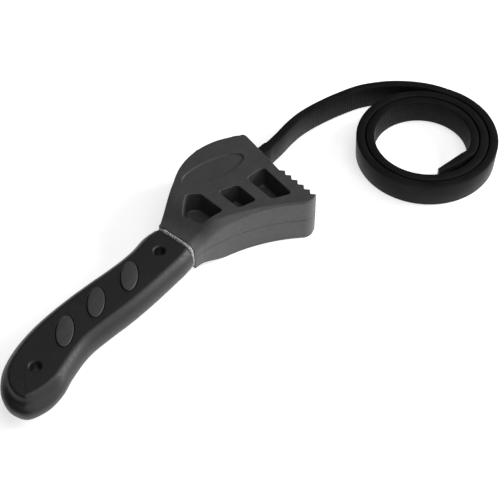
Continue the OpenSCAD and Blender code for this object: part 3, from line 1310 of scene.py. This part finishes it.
@dataclass
class Grip(Piece):
    """The soft rubber grip, with its hang holes and the windows that the pads stand in."""

    neck: NeckPlane
    end_gap: float = 2.6
    side_profile: list[tuple[float, float]] = field(
        default_factory=lambda: [
            (0, 0), (0.1, 1.3), (0.35, 2.6), (0.9, 3.9), (1.7, 5.1), (2.6, 6.1), (3.5, 6.9), (4.1, 7.3),
            (4.7, 7.6), (5.6, 7.75),
        ]
    )
    butt_profile: list[tuple[float, float]] = field(
        default_factory=lambda: [
            (0, 0), (0.15, 1.1), (0.7, 2.1), (1.5, 2.8), (2.9, 3.3), (4.3, 3.8), (5.1, 4.7), (5.7, 6.3),
            (6.4, 7.35), (7.8, 7.75),
        ]
    )
    edge: list[tuple[float, float]] = field(
        default_factory=lambda: [
            (1.26, 6.5), (1.2, 11.8), (1.1, 14.1), (1.03, 14.8), (0.91, 13.9), (0.76, 15), (0.6, 17.2),
            (0.41, 19.2), (0.22, 19.8), (0.05, 18.2), (-0.09, 14.2), (-0.188, 7.6), (-0.238, 0),
            (-0.246, -6.8), (-0.213, -13.4), (-0.108, -17.2), (0.008, -16.9), (0.12, -13.9),
            (0.28, -11.3), (0.44, -12.3), (0.6, -14.1), (0.76, -15), (0.92, -15.3), (1.05, -15.2),
            (1.15, -13.6), (1.24, -9), (1.28, -1),
        ]
    )
    butt_tip: Vector = field(default_factory=lambda: Vector((-17, -13)))
    window_gap: float = 0.35
    window_depth: float = 1.6
    window_rim: float = 0.35
    hole_rim: float = 1.2
    crease_reach: float = 20.0
    crease_strength: float = 1.35
    end_bevel: float = 0.8

    def half_rings(self, outline: Outline, shares: list[float]) -> list[list[Vector]]:
        """Stacks the rings of one half, from its edge to its flat.

        Args:
            outline: The grip's outline.
            shares: How much of the butt's profile there is at each point; the rest is the side's.

        Returns:
            The rings, for loft().
        """
        rings = []
        for side, butt in zip(self.side_profile, self.butt_profile):
            inwards = [mix(side[0], butt[0], share) for share in shares]
            heights = [mix(side[1], butt[1], share) for share in shares]
            rings.append(level(moved_in(outline, inwards), heights))
        return rings

    def build(self, pads: "Pads") -> bpy.types.Object:
        """Builds the grip and cuts its holes and windows.

        Args:
            pads: The pads that stand in its windows.

        Returns:
            The grip.
        """
        outline = closed_curve(plan(*[(x * self.sizes.spacing, y) for x, y in self.edge]), 6)
        creased = [
            smooth(self.crease_strength - (p - self.butt_tip).length / self.crease_reach) for p in outline
        ]
        plain = [0.0] * len(outline)
        under = mirrored(self.half_rings(outline, plain)[1:])
        grip = loft("grip", under + self.half_rings(outline, creased))
        face, normal = self.neck.place(-self.end_gap), self.neck.normal
        bisect(grip, face, -normal, drop=True)
        bevel_on_plane(grip, face, normal, self.end_bevel, 4)
        combine(grip, self.cutters(pads))
        smooth_shading(grip, 50)
        self.ride(grip, Body.WRENCH, Slot.GRIP, GRIP)
        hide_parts("grip_sleeve")
        return grip

    def cutters(self, pads: "Pads") -> list[bpy.types.Object]:
        """Makes the shells of the two hang holes and the windows of the pads.

        Args:
            pads: The pads that stand in the windows.

        Returns:
            The shells.
        """
        top, made = self.sizes.grip_half, []
        for x in (0.0, self.sizes.spacing):
            ring = partial(oval_inside, Vector((x, 0)), (self.sizes.hole_radius,) * 2, 0.0)
            upper = recess_rings(ring, 0.0, top, 0.0, 0.1, self.hole_rim)[5:]
            made.append(loft("hang_hole", mirrored(upper) + upper))
        for place in pads.places:
            window = partial(oval_inside, place, pads.half_sizes(self.window_gap), pads.tilt)
            for way in (1, -1):
                floor = way * (top - self.window_depth)
                rings = recess_rings(window, floor, way * top, 0.1, 0.1, self.window_rim)
                made.append(loft("pad_window", rings))
        return made


@dataclass
class Pads(Piece):
    """The oval pads of the frame moulding that stand through the grip on both faces."""

    length: float = 19.1
    width: float = 8.6
    pitch: float = 22.8
    proud: float = 0.7
    tilt: float = 37.5
    edge: float = 0.45
    crown: float = 0.2
    depth: float = 3.0
    middle_share: float = 0.512

    @property
    def places(self) -> Outline:
        """Lists the centres of the three pads."""
        middle = self.middle_share * self.sizes.spacing
        return plan(*[(middle + i * self.pitch, 1.1 if i > 0 else 3.1) for i in (-1, 0, 1)])

    def half_sizes(self, wider: float = 0.0) -> tuple[float, float]:
        """Returns half the length and half the width, with something added to both."""
        return self.length / 2 + wider, self.width / 2 + wider

    def build(self) -> list[bpy.types.Object]:
        """Models one pad, then copies it to the three places on both faces.

        Returns:
            The six pads.
        """
        top = self.sizes.grip_half + self.proud
        foot = self.sizes.grip_half - self.depth
        steps = 4
        ring = oval(Vector((0, 0)), self.half_sizes(), self.tilt, 64)
        rings = [level(ring, foot)]
        for k in range(steps + 1):
            angle = math.pi / 2 * k / steps
            inwards = self.edge * (1 - math.cos(angle))
            rings.append(level(moved_in(ring, inwards), top - self.crown - self.edge * (1 - math.sin(angle))))
        for share in (0.8, 0.55, 0.25):
            inner = [p * share for p in moved_in(ring, self.edge)]
            rings.append(level(inner, top - self.crown * share * share))
        model = loft("pad", rings)
        smooth_shading(model, 40)
        made = []
        for way, side in ((1, "top"), (-1, "under")):
            for i, place in enumerate(self.places):
                pad = bpy.data.objects.new(f"pad_{side}_{i + 1}", model.data.copy())
                bpy.context.scene.collection.objects.link(pad)
                turn = Matrix.Identity(4) if way > 0 else Matrix.Scale(-1, 4, Vector((0, 0, 1)))
                pad.data.transform(Matrix.Translation(place.to_3d() * MM) @ turn)
                if way < 0:
                    pad.data.flip_normals()
                self.ride(pad, Body.WRENCH, Slot.FRAME, NYLON)
                made.append(pad)
        bpy.data.objects.remove(model)
        return made


# ---------------------------------------------------------------- studio


@dataclass
class Studio:
    """The table, the soft lights and the camera."""

    azimuth: float = -52.196
    elevation: float = 49.5
    distance: float = 728.0
    aim: Vector = field(default_factory=lambda: Vector((126.18, -32.39, 0)))
    lens: float = 100.8
    table_size: float = 6000.0
    table_drop: float = 0.05
    surroundings: float = 0.05

    def camera(self) -> None:
        """Places the camera, which looks down at the tool from the butt's side."""
        turn, tilt = math.radians(self.azimuth), math.radians(self.elevation)
        back = Vector((math.sin(turn) * math.cos(tilt), -math.cos(turn) * math.cos(tilt), math.sin(tilt)))
        data = bpy.data.cameras.new("camera")
        data.lens, data.sensor_width = self.lens, 36
        data.clip_start, data.clip_end = 0.01, 50
        camera = bpy.data.objects.new("camera", data)
        camera.location = (self.aim + back * self.distance) * MM
        camera.rotation_mode = "QUATERNION"
        camera.rotation_quaternion = (-back).to_track_quat("-Z", "Y")
        bpy.context.scene.collection.objects.link(camera)
        bpy.context.scene.camera = camera

    def table(self, underside: float) -> None:
        """Lays the table under the tool, at the height of its underside."""
        clear_selection()
        height = (underside - self.table_drop) * MM
        bpy.ops.mesh.primitive_plane_add(size=self.table_size * MM, location=(0.1, 0, height))
        table = bpy.context.object
        table.name = table.data.name = "table"
        bpy.ops.object.transform_apply(location=True)
        TABLE.dress(table)

    def light(self, name: str, direction: Vector, distance: float, size: float, power: float) -> None:
        """Hangs a square soft light that faces the tool.

        Args:
            name: The light's name.
            direction: Where it hangs, seen from the tool.
            distance: How far away, in metres.
            size: Length of its side, in metres.
            power: Its power in watts.
        """
        data = bpy.data.lights.new(name, "AREA")
        data.shape, data.size, data.energy = "SQUARE", size, power
        light = bpy.data.objects.new(name, data)
        away = direction.normalized()
        light.location = self.aim * MM + away * distance
        light.rotation_mode = "QUATERNION"
        light.rotation_quaternion = (-away).to_track_quat("-Z", "Y")
        bpy.context.scene.collection.objects.link(light)

    def lights(self) -> None:
        """Sets the soft lights and the pale surroundings."""
        self.light("key_softbox", Vector((0.8, -0.65, 0.5)), 1.2, 0.5, 11)
        self.light("top_softbox", Vector((0.1, -0.2, 1.0)), 1.4, 1.1, 6.5)
        self.light("front_softbox", Vector((-0.2, -0.9, 0.5)), 1.4, 0.8, 3.4)
        world = bpy.data.worlds.new("surroundings")
        world.use_nodes = True
        background = world.node_tree.nodes["Background"]
        background.inputs["Color"].default_value = linear("#ffffff")
        background.inputs["Strength"].default_value = self.surroundings
        bpy.context.scene.world = world
        bpy.context.scene.view_settings.view_transform = "Standard"


def main() -> None:
    """Builds the studio and the tool's pieces in order."""
    logging.basicConfig(level=logging.INFO, format="%(name)s %(message)s")
    sizes = ToolSizes.from_frame()
    studio = Studio()
    studio.camera()
    strap = Strap(sizes)
    strap.build()
    neck = NeckPlane(centre=Vector((sizes.spacing + 12.8, -1)))
    Head(sizes, neck).build(strap)
    Collar(sizes, neck).build()
    pads = Pads(sizes)
    pads.build()
    Grip(sizes, neck).build(pads)
    studio.table(-sizes.head_half)
    studio.lights()


if __name__ == "__main__":
    main()
